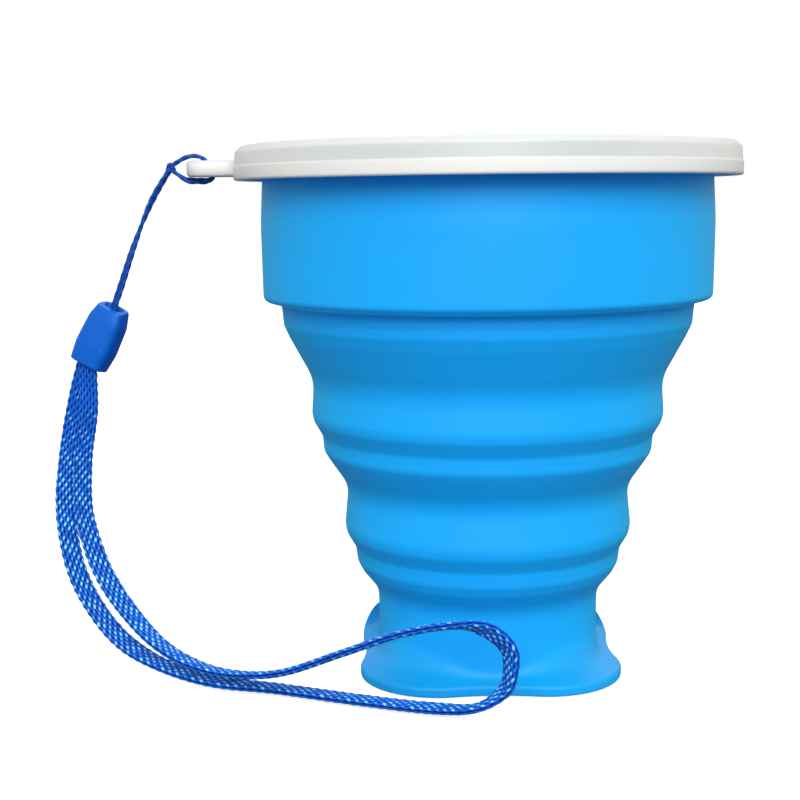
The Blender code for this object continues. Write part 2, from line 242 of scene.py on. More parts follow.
def skin(name, rows, surface, wrap_rows=False, sharp=None):
    """An object skinned over rows of points; the first and last row are capped unless they join."""
    rows = np.asarray(rows, float)
    count, points = rows.shape[:2]
    faces = [tuple(f) for f in grid_faces(count, points, wrap_rows=wrap_rows).tolist()]
    if not wrap_rows:
        faces.append(tuple(range(points - 1, -1, -1)))
        faces.append(tuple(range((count - 1) * points, count * points)))
    return make_object(name, rows.reshape(-1, 3), faces, surface, sharp)


def turned(name, outline, surface, wrap=True):
    """A closed outline of (radius, height) turned round the cup's axis."""
    angles = np.linspace(0, 2 * math.pi, TURNS, endpoint=False)
    r, z = outline[:, 0][:, None], outline[:, 1][:, None]
    rows = np.stack([r * np.cos(angles), r * np.sin(angles), np.broadcast_to(z, (len(r), TURNS))], -1)
    return skin(name, rows, surface, wrap_rows=wrap, sharp=50)


def apply_modifiers(target):
    """Turns an object's modifiers into its mesh."""
    bpy.context.view_layer.update()
    graph = bpy.context.evaluated_depsgraph_get()
    mesh = bpy.data.meshes.new_from_object(target.evaluated_get(graph))
    target.modifiers.clear()
    target.data = mesh


def apply_boolean(target, cutter, operation):
    """Joins a helper solid into the target or cuts it away, and removes the helper."""
    change = target.modifiers.new("shape", "BOOLEAN")
    change.operation = operation
    change.solver = "EXACT"
    change.object = cutter
    apply_modifiers(target)
    bpy.data.objects.remove(cutter, do_unlink=True)


# ---------------------------------------------------------------- materials

class Look:
    """A Principled material under construction. Nodes are passed on as the sockets they give out."""

    def __init__(self, name):
        self.material = bpy.data.materials.new(name)
        self.material.use_nodes = True
        self.tree = self.material.node_tree
        self.shader = self.tree.nodes["Principled BSDF"]
        self.place = self.add("ShaderNodeTexCoord").outputs["Object"]

    def add(self, kind, links=None, **values):
        """A node of this kind, with its settings and input values, and with sockets linked to it."""
        node = self.tree.nodes.new(kind)
        for key, value in values.items():
            if key in node.inputs:
                node.inputs[key].default_value = value
            else:
                setattr(node, key, value)
        for key, socket in (links or {}).items():
            self.tree.links.new(socket, node.inputs[key])
        return node

    def set(self, **values):
        """Plain values of the shader; an underscore stands for a space."""
        for key, value in values.items():
            self.shader.inputs[key.replace("_", " ")].default_value = value

    def feed(self, name, socket):
        self.tree.links.new(socket, self.shader.inputs[name])

    def noise(self, scale, detail, roughness=0.5):
        values = {"Scale": scale, "Detail": detail, "Roughness": roughness}
        return self.add("ShaderNodeTexNoise", {"Vector": self.place}, **values).outputs["Fac"]

    def ramp(self, value, span, to=(0.0, 1.0), smooth=False):
        """Maps the span of a value onto another span."""
        node = self.add("ShaderNodeMapRange", {"Value": value})
        node.interpolation_type = "SMOOTHSTEP" if smooth else "LINEAR"
        node.inputs["From Min"].default_value, node.inputs["From Max"].default_value = span
        node.inputs["To Min"].default_value, node.inputs["To Max"].default_value = to
        return node.outputs["Result"]

    def mix(self, factor, first, second):
        """A colour between two, each a colour or a socket."""
        node = self.add("ShaderNodeMix", {"Factor": factor}, data_type="RGBA")
        for name, colour in (("A", first), ("B", second)):
            if isinstance(colour, tuple):
                node.inputs[name].default_value = (*colour, 1.0)
            else:
                self.tree.links.new(colour, node.inputs[name])
        return node.outputs["Result"]

    def times(self, first, second):
        """The product of a socket and a socket or number."""
        node = self.add("ShaderNodeMath", {0: first}, operation="MULTIPLY")
        if isinstance(second, float):
            node.inputs[1].default_value = second
        else:
            self.tree.links.new(second, node.inputs[1])
        return node.outputs["Value"]

    def bump(self, height, strength, distance, under=None):
        links = {"Height": height}
        if under:
            links["Normal"] = under
        return self.add("ShaderNodeBump", links, Strength=strength, Distance=distance).outputs["Normal"]

    def upward(self):
        """How far the surface faces up: 1 for level, -1 for upside down."""
        normal = self.add("ShaderNodeNewGeometry").outputs["Normal"]
        return self.add("ShaderNodeSeparateXYZ", {"Vector": normal}).outputs["Z"]


def silicone_material():
    """Soft matt silicone with a faint mottle and a fine skin. Light is painted into its colour: a painted
    sheen makes it paler at edges seen edge-on, painted light from below makes it paler where it faces down,
    where a faint painted glow also shines, and painted shade makes it deeper where it faces up."""
    look = Look("silicone")
    mottle = look.noise(90.0, 4.0, 0.6)
    body = look.mix(mottle, (0.0035, 0.350, 0.86), (0.0055, 0.380, 0.92))
    # painted sheen: paler colour where the surface is seen edge-on
    painted_sheen_mask = look.add("ShaderNodeLayerWeight", Blend=0.26).outputs["Facing"]
    edge = look.mix(painted_sheen_mask, body, (0.012, 0.62, 1.0))
    upward = look.upward()
    # painted light from below: paler colour where the surface faces down
    below = look.ramp(upward, (-0.70, -0.95), smooth=True)
    pale = look.mix(below, edge, (0.02, 0.52, 1.0))
    # painted shade: deeper colour where the surface faces up
    above = look.ramp(upward, (0.05, 0.65), smooth=True)
    look.feed("Base Color", look.mix(above, pale, (0.003, 0.33, 0.71)))
    # painted glow on the faces that look down
    look.feed("Emission Strength", look.times(below, 0.16))
    look.set(Emission_Color=(0.01, 0.32, 0.78, 1.0), Specular_IOR_Level=0.28)
    fine = look.bump(look.noise(2600.0, 3.0, 0.7), 0.10, 0.0002)
    look.feed("Normal", look.bump(look.noise(140.0, 2.0), 0.06, 0.0008, under=fine))
    look.feed("Roughness", look.ramp(mottle, (0.0, 1.0), to=(0.46, 0.56)))
    return look.material


def lid_material():
    """Milky moulded plastic with shade painted into its colour: a painted shade greys it where the rim is
    close behind it, which is above the skirt's lip and not on the lug, less so where it is seen edge-on, and
    a painted shade greys its top."""
    look = Look("milky_plastic")
    # painted shade: the grey that stands for the rim seen through the plastic
    painted_rim_shade = look.mix(look.noise(55.0, 3.0), (0.55, 0.575, 0.565), (0.61, 0.63, 0.615))
    where = look.add("ShaderNodeSeparateXYZ", {"Vector": look.place})
    above_lip = look.ramp(where.outputs["Z"], ((lid_low.z + 1.9) * MM, (lid_low.z + 2.7) * MM), smooth=True)
    off_lug = look.ramp(where.outputs["X"], (-(LID_R + 1.0) * MM, -(LID_R - 1.5) * MM), smooth=True)
    facing = look.add("ShaderNodeLayerWeight").outputs["Facing"]
    # less painted shade where the lid is seen edge-on
    head_on = look.ramp(facing, (0.1, 0.75), to=(1.0, 0.0))
    painted_shade_amount = look.times(look.times(above_lip, off_lug), head_on)
    skirt = look.mix(painted_shade_amount, (0.80, 0.78, 0.72), painted_rim_shade)
    # painted shade greys the faces that look up
    above = look.ramp(look.upward(), (0.1, 0.8), smooth=True)
    look.feed("Base Color", look.mix(above, skirt, (0.60, 0.62, 0.61)))
    look.feed("Normal", look.bump(look.noise(900.0, 3.0), 0.05, 0.0002))
    look.set(Roughness=0.38, IOR=1.49, Subsurface_Weight=0.25, Subsurface_Scale=0.0015)
    look.set(Subsurface_Radius=(1.0, 1.0, 0.9))
    return look.material


def sleeve_material():
    """Blue moulded plastic with a satin skin and a painted highlight that makes its sharpest edges paler."""
    look = Look("sleeve_plastic")
    body = look.mix(look.noise(260.0, 3.0), (0.001, 0.095, 0.47), (0.002, 0.115, 0.54))
    pointed = look.add("ShaderNodeNewGeometry").outputs["Pointiness"]
    # painted highlight: paler colour on the sharpest edges
    painted_edge_highlight = look.ramp(pointed, (0.52, 0.60), to=(0.0, 0.4))
    look.feed("Base Color", look.mix(painted_edge_highlight, body, (0.05, 0.30, 0.95)))
    look.feed("Normal", look.bump(look.noise(1800.0, 4.0), 0.12, 0.00015))
    look.set(Roughness=0.36, Specular_IOR_Level=0.18)
    return look.material


def yarn_material(name, low, high, roughness, shine):
    """Polyester yarn. The point attribute lift is 0 where a yarn dives under and 1 where it lies on top; the
    colour goes with it from low, a painted shade, to high, a painted highlight.
    """
    look = Look(name)
    lift = look.add("ShaderNodeAttribute", attribute_name="lift").outputs["Fac"]
    # painted shade where a yarn dives under, painted highlight where it lies on top; the noise below is real
    # random tone
    colour = look.mix(look.ramp(lift, (0.67, 0.88), smooth=True), low, high)
    dyed_and_painted_shine = look.add("ShaderNodeHueSaturation", {
        "Color": colour,
        "Value": look.ramp(look.noise(420.0, 2.0), (0.0, 1.0), to=(0.7, 1.3)),
    })
    look.feed("Base Color", dyed_and_painted_shine.outputs["Color"])
    look.feed("Normal", look.bump(look.noise(5200.0, 2.0), 0.3, 0.0001))
    look.set(Roughness=roughness, Specular_IOR_Level=shine)
    return look.material


def crimp_material():
    """Brushed steel."""
    look = Look("crimp_steel")
    look.feed("Normal", look.bump(look.noise(1500.0, 3.0), 0.2, 0.0001))
    look.set(Metallic=1.0, Roughness=0.32, Base_Color=(0.55, 0.56, 0.58, 1.0))
    return look.material


# ---------------------------------------------------------------- the silicone cup

def cup_profiles():
    """Outer and inner outline of the open cup, from the rim's flange down to the stem, as corners of
    (radius, height, fillet)."""
    band, top, low = RIM_WALL_R, rim_high.z, rim_low.z
    middle_r, middle_top, middle_end = middle_high.x, middle_high.z, middle_low.z
    lower_r, lower_top, lower_end = lower_high.x, lower_high.z, lower_low.z
    outer = [
        (band - 2.4, top - 0.2),
        (band - 1.0, top, 0.6),
        (rim_high.x, top, 0.7),
        (rim_high.x, top - 2.3, 0.6),
        (band - 0.45, top - 2.9, 0.9),
        (band, top - 11.8, 30.0),
        (band - 0.2, low, 1.2),
        (band - 3.3, low - 0.65, 1.2),
        (band - 3.65, low - 4.4, 2.5),
        (band - 4.6, low - 6.5, 4.0),
        (middle_r - 0.4, middle_top + 0.5, 8.0),
        (middle_r, middle_end + 4.2, 10.0),
        (middle_r - 0.3, middle_end + 2.9, 3.0),
        (middle_r - 1.8, middle_end + 0.3, 2.0),
        (middle_r - 2.05, middle_end - 2.5, 2.5),
        (middle_r - 3.0, middle_end - 4.0, 3.0),
        (lower_r - 0.7, lower_top, 6.0),
        (lower_r, lower_end + 4.0, 9.0),
        (lower_r - 0.3, lower_end + 2.5, 3.0),
        (lower_r - 1.8, lower_end, 1.8),
        (lower_r - 2.15, lower_end - 2.7, 2.5),
        (lower_r - 3.0, lower_end - 4.3, 3.0),
        (STEM_R + 0.1, foot_high.z + 0.9, 5.0),
        (STEM_R - 0.1, foot_high.z - 3.5),
    ]
    inner = [
        (band - WALL - 0.3, top - 0.5),
        (band - WALL, top - 11.8, 20.0),
        (band - WALL - 0.2, low + 2.2, 1.5),
        (band - 4.7, low + 1.1, 0.9),
        (band - 5.2, low - 4.2, 3.0),
        (middle_r - 1.7, middle_top + 1.0, 2.5),
        (middle_r - WALL, middle_end + 4.4, 5.0),
        (middle_r - WALL - 0.3, middle_end + 3.4, 1.0),
        (middle_r - 3.1, middle_end + 1.7, 0.9),
        (middle_r - 3.5, middle_end - 2.2, 2.0),
        (lower_r - 2.0, lower_top + 0.5, 2.5),
        (lower_r - WALL, lower_end + 4.2, 4.0),
        (lower_r - WALL - 0.3, lower_end + 3.2, 1.0),
        (lower_r - 3.1, lower_end + 1.4, 0.9),
        (lower_r - 3.6, lower_end - 2.4, 2.0),
        (STEM_R - 1.8, foot_high.z + 0.6, 2.5),
        (STEM_R - WALL, foot_high.z - 3.5),
    ]
    return spaced(rounded(outer, 8), 0.3), spaced(rounded(inner, 6), 0.5)


def between(outline, high, low, tuck=0.0):
    """The part of a falling outline between two heights. tuck adds a short inset end at both cuts."""
    first = int(np.argmax(outline[:, 1] < high)) if high else 0
    last = int(np.argmax(outline[:, 1] < low))
    part = outline[first:last]
    if tuck:
        before, after = outline[first - 2:first].copy(), outline[last:last + 2].copy()
        before[:, 0] -= tuck
        after[:, 0] -= tuck
        part = np.concatenate([before, part, after])
    return part


def wall(name, high, low, surface, tuck=0.0):
    """One piece of the cup's wall between two heights."""
    outer, inner = cup_profiles()
    outline = np.concatenate([between(outer, high, low, tuck), between(inner, high, low)[::-1]])
    return turned(name, outline, surface)


def make_cup(surface):
    """The silicone, cut on smooth stretches of its wall so that every ring keeps its own creases."""
    rim_end = rim_low.z - 3.0
    middle_start, middle_end = middle_high.z + 3.0, middle_low.z - 1.2
    lower_start, lower_end = lower_high.z + 2.6, lower_low.z - 1.5
    foot_start = foot_high.z + 2.7
    rings = [
        ("rim_ring", "rim", None, rim_end),
        ("middle_ring", "middle", middle_start, middle_end),
        ("lower_ring", "lower", lower_start, lower_end),
    ]
    folds = [
        ("upper_fold", "rim", "middle", rim_end, middle_start),
        ("middle_fold", "middle", "lower", middle_end, lower_start),
        ("lower_fold", "lower", "foot", lower_end, foot_start),
    ]
    for node, body, high, low in rings:
        ring = wall(node + "_skin", high, low, surface)
        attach(ring, body)
        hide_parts(node)
    for node, upper, lower, high, low in folds:
        fold = wall(node + "_skin", high, low, surface, tuck=0.04)
        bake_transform(fold)
        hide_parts(node)
    foot = make_foot(foot_start, surface)
    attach(foot, "foot")
    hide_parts("foot_base")


def foot_radius(angle):
    """Distance of the foot's edge from the axis: the circle of a lobe, or the wide arc between two."""
    quarter = math.pi / 2
    off = abs((angle + quarter / 2) % quarter - quarter / 2)
    inset = FOOT_DIP - LOBE_CENTRE
    hollow_r = (LOBE_CENTRE**2 + inset**2 - LOBE_R**2) / (2 * (LOBE_R - inset))
    hollow_centre = FOOT_DIP + hollow_r
    across = Vector((hollow_centre - LOBE_CENTRE, -LOBE_CENTRE)).normalized() * LOBE_R
    if off < math.atan2(LOBE_CENTRE + across.y, LOBE_CENTRE + across.x):
        return hollow_centre * math.cos(off) - math.sqrt(
            hollow_r**2 - (hollow_centre * math.sin(off)) ** 2
        )
    lobe = math.pi / 4 - off
    distance = LOBE_CENTRE * math.sqrt(2)
    return distance * math.cos(lobe) + math.sqrt(LOBE_R**2 - (distance * math.sin(lobe)) ** 2)


def curled(outline, angle):
    """One profile of the foot with its outer end bent up and inwards, where it belongs to a back lobe."""
    behind = np.clip((math.sin(angle) - 0.05) / 0.6, 0.0, 1.0)
    out = np.clip((outline[:, 0] - CURL_FROM) / (LOBE_TIP - CURL_FROM), 0.0, None) ** 2
    in_flange = outline[:, 1] < FOOT_EDGE + 2.0
    rise = FOOT_CURL * behind**2 * (3 - 2 * behind) * out * in_flange
    return outline[:, 0] - CURL_IN * rise, outline[:, 1] + rise


def make_foot(top, surface):
    """Stem, floor and lobed flange, as one profile for each direction round the axis. top is the height
    where the stem's wall meets the fold above."""
    inside = STEM_R - WALL
    joint = foot_high.z - 2.0           # height where the neck's outlines meet the flange's and floor's
    outer, inner = cup_profiles()
    neck = np.concatenate([between(outer, top, joint)[::-1], between(inner, top, joint)])
    columns = []
    for angle in np.linspace(0, 2 * math.pi, TURNS * 2, endpoint=False):
        edge = foot_radius(angle)
        junction = FOOT_EDGE + FOOT_SLOPE * (edge - STEM_R)
        under = rounded([
            (0.3, 0.0),
            (edge - 3.5, 0.0),
            (edge - 1.0, 0.0, 0.3),
            (edge - 0.05, 0.12, 0.45),
            (edge, FOOT_EDGE, 0.7),
            (STEM_R - 0.05, junction, 5.5),
            (neck[0][0], neck[0][1]),
        ], 8)
        above = rounded([
            (inside, joint),
            (inside, FLOOR_TOP + 2.0, 1.8),
            (inside - 2.0, FLOOR_TOP, 1.2),
            (0.3, FLOOR_TOP),
        ])
        outline = np.concatenate([divided(under, 4)[:-1], neck, divided(above, 2)[1:]])
        reach, height = curled(outline, angle)
        columns.append(np.stack([reach * math.cos(angle), reach * math.sin(angle), height], -1))
    rows = np.array(columns).transpose(1, 0, 2)
    return skin("foot_skin", rows, surface, sharp=50)


# ---------------------------------------------------------------- the lid

def make_lid(surface):
    """Disc with a raised edge, stepped skirt, seal ring and the lug."""
    top, low = lid_high.z, lid_low.z
    under = top - PLATE
    skirt_in = LID_R - SKIRT_WALL
    outline = rounded([
        (0.3, top - LID_EDGE),
        (LID_R - 7.4, top - LID_EDGE, 0.4),
        (LID_R - 6.4, top, 0.6),
        (LID_R - 1.4, top - 0.02, 0.8),
        (LID_R - 0.35, top - 0.9, 0.8),
        (LID_R - 0.15, low + 2.5, 0.3),
        (LID_R, low + 2.2, 0.25),
        (LID_R, low, 0.5),
        (skirt_in, low, 0.4),
        (skirt_in, under, 0.5),
        (PLUG_R, under, 0.4),
        (PLUG_R, under - SEAL_DEPTH, 0.5),
        (PLUG_R - 1.2, under - SEAL_DEPTH, 0.5),
        (PLUG_R - 1.4, under, 0.5),
        (0.3, under),
    ])
    lid = turned("lid_shell", spaced(outline, 1.2), surface, wrap=False)
    apply_boolean(lid, make_lug(surface), "UNION")
    apply_boolean(lid, make_lug_hole(surface), "DIFFERENCE")
    lid.data.shade_smooth()
    lid.data.set_sharp_from_angle(angle=math.radians(40))
    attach(lid, "lid")
    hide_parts("lid")


def make_lug(surface):
    """The tongue for the lanyard: round nose, soft edges, and a neck that widens into the skirt."""
    root = -(LID_R - SKIRT_WALL / 2)
    middle_x = LUG_NOSE_X + LUG_HALF_WIDTH
    nose = np.linspace(math.pi / 2, 3 * math.pi / 2, 29)
    neck = [(0.0, 1.6), (-1.2, 0.5), (-2.4, 0.0)]       # place beyond the root, and extra half width there
    rows = []
    for turn in np.radians(np.linspace(-90, 90, 9)):
        height = LUG_Z + np.sign(round(turn, 6)) * (LUG_THICK / 2 - LUG_EDGE_R) + LUG_EDGE_R * math.sin(turn)
        half = LUG_HALF_WIDTH - LUG_EDGE_R * (1 - math.cos(turn))
        points = [(root + x, half + wider, height) for x, wider in neck]
        points += [(middle_x + half * math.cos(a), half * math.sin(a), height) for a in nose]
        points += [(root + x, -half - wider, height) for x, wider in reversed(neck)]
        rows.append(points)
    return skin("lug_helper", rows, surface, sharp=50)


def make_lug_hole(surface):
    """A vertical hole with a chamfer at both mouths."""
    centre_x = LUG_NOSE_X + LUG_HALF_WIDTH - 0.1
    upper = [(0.9, LUG_HOLE_R), (1.25, LUG_HOLE_MOUTH_R - 0.25), (1.6, LUG_HOLE_MOUTH_R)]
    lower = [(-height, r) for height, r in reversed(upper)]
    rows = []
    for height, r in lower + upper:
        rows.append([
            (centre_x + r * math.cos(a), r * math.sin(a), LUG_Z + height)
            for a in np.linspace(0, 2 * math.pi, 40, endpoint=False)
        ])
    return skin("lug_hole_helper", rows, surface)


# ---------------------------------------------------------------- the lanyard

def sleeve_frame():
    """Ends and directions of the sleeve, from the frame's joints: along it, across its width, its depth."""
    top_pivot, low_pivot = pivot_mm("sleeve_swing"), pivot_mm("strap_swing")
    along = (top_pivot - low_pivot).normalized()
    across, depth = axis_of("strap_swing"), axis_of("sleeve_swing")
    inset = along * SLEEVE_PIVOT_INSET
    return top_pivot + inset, low_pivot + inset, along, across, depth


def frames_along(path, wide):
    """Tangent, wide and thin directions at each point of a path."""
    tangent = unit(np.gradient(path, axis=0))
    wide = unit(wide - (wide * tangent).sum(1, keepdims=True) * tangent)
    return tangent, wide, np.cross(tangent, wide)


def tube_rows(path, wide, half_wide, half_thick, sides, power=1.0, phase=None, plies=0, depth=0.0):
    """Loops of points round a path. plies adds bumps of twisted yarn, depth high, turned by phase."""
    tangent, wide, thin = frames_along(path, wide)
    a = np.linspace(0, 2 * math.pi, sides, endpoint=False)[None, :]
    swell = 1.0 if phase is None else 1 + depth * np.cos(plies * (a - phase[:, None]))
    x, y = flattened(a, half_wide * swell, half_thick * swell, power)
    return path[:, None, :] + wide[:, None, :] * x[..., None] + thin[:, None, :] * y[..., None]


def join_rows(name, parts, surface, lifts=None):
    """One object from several closed tubes, each an array of loops of points."""
    points, faces, values, first = [], [], [], 0
    for k, rows in enumerate(parts):
        count, sides = rows.shape[:2]
        points.append(rows.reshape(-1, 3))
        faces += grid_faces(count, sides, first).tolist()
        faces.append([first + i for i in range(sides - 1, -1, -1)])
        faces.append([first + (count - 1) * sides + i for i in range(sides)])
        values.append(np.asarray(lifts[k]).reshape(-1) if lifts else np.zeros(count * sides))
        first += count * sides
    made = make_object(name, np.concatenate(points), faces, surface)
    attribute = made.data.attributes.new("lift", "FLOAT", "POINT")
    attribute.data.foreach_set("value", np.concatenate(values).astype(np.float32))
    return made


def twisted(path):
    """A two-ply cord along a path, and how high its ridges lie."""
    wide = np.tile(np.array([0.0, 1.0, 0.02]), (len(path), 1))
    path, (wide,), run = even(path, [wide], CORD_STEP)
    sides = 14
    phase = run * CORD_TWIST * math.pi
    rows = tube_rows(path, wide, CORD_R, CORD_R, sides, phase=phase, plies=2, depth=0.10)
    a = np.linspace(0, 2 * math.pi, sides, endpoint=False)[None, :]
    # the ridges' height drives the cord's painted highlight and painted shade
    return rows, 0.5 + 0.5 * np.cos(2 * (a - phase[:, None]))


def cord_bight(centre, knot, offset, low_r):
    """One bight of the cord: from the knot over the lug's bar, through the hole and back underneath.
    low_r is how far the returning strand hangs below the bar's middle."""
    high_r = 2.25           # how far the outgoing strand rises above it
    points = [
        knot + Vector((0.2, offset * 0.3, 0.4)),
        centre + Vector((-2.3, offset * 0.8, 1.55)),
        centre + Vector((-0.9, offset, high_r - 0.1)),
        centre + Vector((0.6, offset, high_r)),
        centre + Vector((1.9, offset, 1.65)),
        centre + Vector((2.6, offset, 0.3)),
        centre + Vector((3.3, offset, -1.5)),
        centre + Vector((2.3, offset, -low_r)),
        centre + Vector((0.8, offset, -low_r)),
        centre + Vector((-0.9, offset, -low_r + 0.1)),
        centre + Vector((-2.2, offset * 0.9, -1.3)),
        knot + Vector((0.2, offset * 0.3, -0.3)),
    ]
    return smooth_curve(points, 10)


def trefoil(centre):
    """The tightened knot: a small closed trefoil."""
    wide, deep = 0.21, 0.3
    turns = np.linspace(0, 2 * math.pi, 61)
    return np.stack([
        centre.x + wide * (np.sin(turns) + 2 * np.sin(2 * turns)),
        centre.y - deep * np.sin(3 * turns),
        centre.z - wide * (np.cos(turns) - 2 * np.cos(2 * turns)),
    ], 1)


def make_cord(surface):
    """Thin twisted cord: two bights round the lug's bar, a knot and two legs that touch."""
    centre, pivot = pivot_mm("cord_swing"), pivot_mm("sleeve_swing")
    _, _, along, across, _ = sleeve_frame()
    knot = centre + Vector((-4.0, 0.0, 0.2))
    paths = [cord_bight(centre, knot, -0.45, 2.25), cord_bight(centre, knot, 0.45, 1.85), trefoil(knot)]
    middle_line = [
        knot,
        Vector((-58.7, 0.0, 83.3)),
        Vector((-61.9, 0.0, 76.0)),
        Vector((-64.5, 0.0, 68.8)),
        pivot + along * 0.4,
    ]
    spread = [0.1, 0.18, -0.22, -0.36, -0.34]       # the two legs cross once on the way down
    for side in (-1, 1):
        leg = []
        for point, gap in zip(middle_line, spread):
            leg.append(point + across * side * gap + Vector((0.0, side * 0.26, 0.0)))
        paths.append(smooth_curve(leg, 14))
    tubes, lifts = zip(*(twisted(path) for path in paths))
    cord = join_rows("cord_twist", tubes, surface, lifts)
    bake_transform(cord)
    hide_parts("cord")


def make_sleeve(surface):
    """Moulded sleeve: a barrel-shaped block with soft edges, cut slanting at its top, with a pocket for
    the cord and a mouth for the strap."""
    top, low, along, across, depth = sleeve_frame()
    length = (top - low).length
    angles = np.linspace(0, 2 * math.pi, 64, endpoint=False)

    def section(height, half_width, half_depth):
        x, y = flattened(angles, half_width, half_depth, 0.5)
        place = np.array(low + along * height)
        return place + x[:, None] * np.array(across) + y[:, None] * np.array(depth)

    flatness = 0.62         # depth of a section for its width
    outer = rounded([
        (1.2, length),
        (2.45, length, 1.1),
        (3.35, length * 0.74, 5.0),
        (3.6, length * 0.3, 8.0),
        (3.2, 0.0, 0.7),
        (2.45, 0.0, 0.2),
    ])
    inner = rounded([(2.35, 0.3, 0.2), (2.25, 3.6, 0.4), (1.0, 5.0, 0.4), (0.9, length - 0.1)])
    rows = [section(height, half, flatness * half + 0.35) for half, height in spaced(outer, 0.45)]
    rows += [section(height, half, flatness * half) for half, height in spaced(inner, 0.6)]
    sleeve = skin("sleeve_body", rows, surface, wrap_rows=True, sharp=50)
    apply_boolean(sleeve, top_cutter(top, along, across, depth, surface), "DIFFERENCE")
    apply_boolean(sleeve, pocket_cutter(top, along, across, depth, surface), "DIFFERENCE")
    soften(sleeve, grain=0.11, rounds=6)
    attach(sleeve, "sleeve")
    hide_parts("connector_sleeve")


def top_cutter(top, along, across, depth, surface):
    """Slants the sleeve's top, which is lower on its near side."""
    section = [(-4.0, -1.7), (0.2, -0.25), (4.0, 0.6), (4.0, 3.0), (-4.0, 3.0)]
    rows = [
        [top + depth * x + along * z + across * reach for x, z in section]
        for reach in (-6.0, 6.0)
    ]
    return skin("top_helper", rows, surface)


def pocket_cutter(top, along, across, depth, surface):
    """The long round-ended pocket that the cord goes down into."""
    rows = []
    for height, grow in ((-3.2, -0.2), (-2.9, 0.0), (-0.9, 0.25), (0.3, 0.5), (3.0, 1.0)):
        row = []
        for i in range(32):
            a = 2 * math.pi * i / 32
            x = math.copysign(abs(math.cos(a)) ** 0.6, math.cos(a)) * (1.55 + grow)
            y = math.sin(a) * (0.62 + grow)
            row.append(top + across * x + depth * (y - 0.1) + along * height)
        rows.append(row)
    return skin("pocket_helper", rows, surface)


def soften(target, grain, rounds):
    """Rebuilds a small solid at an even grain and rounds its edges slightly."""
    even_grain = target.modifiers.new("grain", "REMESH")
    even_grain.mode = "VOXEL"
    even_grain.voxel_size = grain * MM
    rounding = target.modifiers.new("rounding", "SMOOTH")
    rounding.factor = 0.5
    rounding.iterations = rounds
    apply_modifiers(target)
    target.data.shade_smooth()


def strap_line():
    """Middle line of the strap's loop and the direction of its width, in millimetres."""
    _, low, along, across, depth = sleeve_frame()
    inside, aside = along * 3.0, depth * STRAP_APART
    side, flat, edge_on = (0.95, -0.3, 0.0), (0.0, 1.0, 0.0), (0.0, 0.96, -0.28)
    stops = [
        (low + inside + aside * 0.7, across),
        (low + aside - across * 0.9, across),
        ((-73.9, 1.0, 46.0), (0.9, -0.3, -0.25)),
        ((-75.6, 0.5, 36.5), side),
        ((-76.0, -0.5, 27.5), (0.95, 0.2, 0.1)),
        ((-74.4, -2.0, 18.5), (0.85, 0.45, 0.3)),
        ((-71.0, -3.5, 11.5), (0.62, 0.65, 0.4)),
        ((-65.5, -6.5, 5.8), (0.4, 0.78, 0.4)),
        ((-57.8, -11.5, 2.8), (0.2, 0.93, 0.15)),
        ((-48.0, -16.5, 1.4), (0.15, 0.95, 0.1)),
        ((-36.5, -20.0, 1.1), flat),
        ((-22.0, -26.0, 1.0), flat),
        ((-11.0, -30.2, 1.1), flat),
        ((-4.0, -34.6, 2.6), (0.0, 1.0, -0.15)),
        ((0.5, -35.0, 5.5), (-0.3, 0.93, 0.0)),
        ((1.6, -35.0, 9.0), (-0.5, 0.86, 0.0)),
        ((1.2, -35.0, 12.5), (-0.65, 0.68, -0.3)),
        ((-2.0, -35.0, 15.4), (-0.45, 0.65, -0.6)),
        ((-7.0, -34.5, 16.2), (-0.15, 0.93, -0.35)),
        ((-16.0, -33.0, 14.4), edge_on),
        ((-25.5, -29.5, 10.2), edge_on),
        ((-36.0, -24.0, 5.2), edge_on),
        ((-45.0, -19.0, 3.5), (0.1, 0.97, -0.15)),
        ((-52.0, -16.0, 4.5), (0.2, 0.95, 0.0)),
        ((-57.9, -13.0, 7.1), (0.3, 0.92, 0.1)),
        ((-63.2, -8.5, 10.9), (0.42, 0.85, 0.3)),
        ((-67.8, -4.5, 15.7), (0.7, 0.55, 0.35)),
        ((-70.7, -2.5, 21.2), (0.93, 0.2, 0.25)),
        ((-72.5, -1.5, 28.5), side),
        ((-72.3, -1.2, 38.0), side),
        ((-71.0, -1.2, 46.5), (0.9, -0.3, -0.25)),
        (low - aside + across * 0.5, across),
        (low + inside - aside * 0.7, across),
    ]
    path = smooth_curve([point for point, _ in stops], 12)
    return path, smooth_curve([wide for _, wide in stops], 12)


def flat_ring(half_wide, half_thick, count):
    """Evenly spaced places and outward directions round a flattened section."""
    ring = np.stack(flattened(np.linspace(0, 2 * math.pi, 721), half_wide, half_thick, 0.7), 1)
    run = np.concatenate([[0.0], np.cumsum(np.linalg.norm(np.diff(ring, axis=0), axis=1))])
    at = (np.arange(count) + 0.5) / count * run[-1]
    place = np.stack([np.interp(at, run, ring[:, k]) for k in range(2)], 1)
    ahead = np.stack([np.interp(at + 0.05, run, ring[:, k]) for k in range(2)], 1)
    way = unit(ahead - place)
    return place, np.stack([way[:, 1], -way[:, 0]], 1)


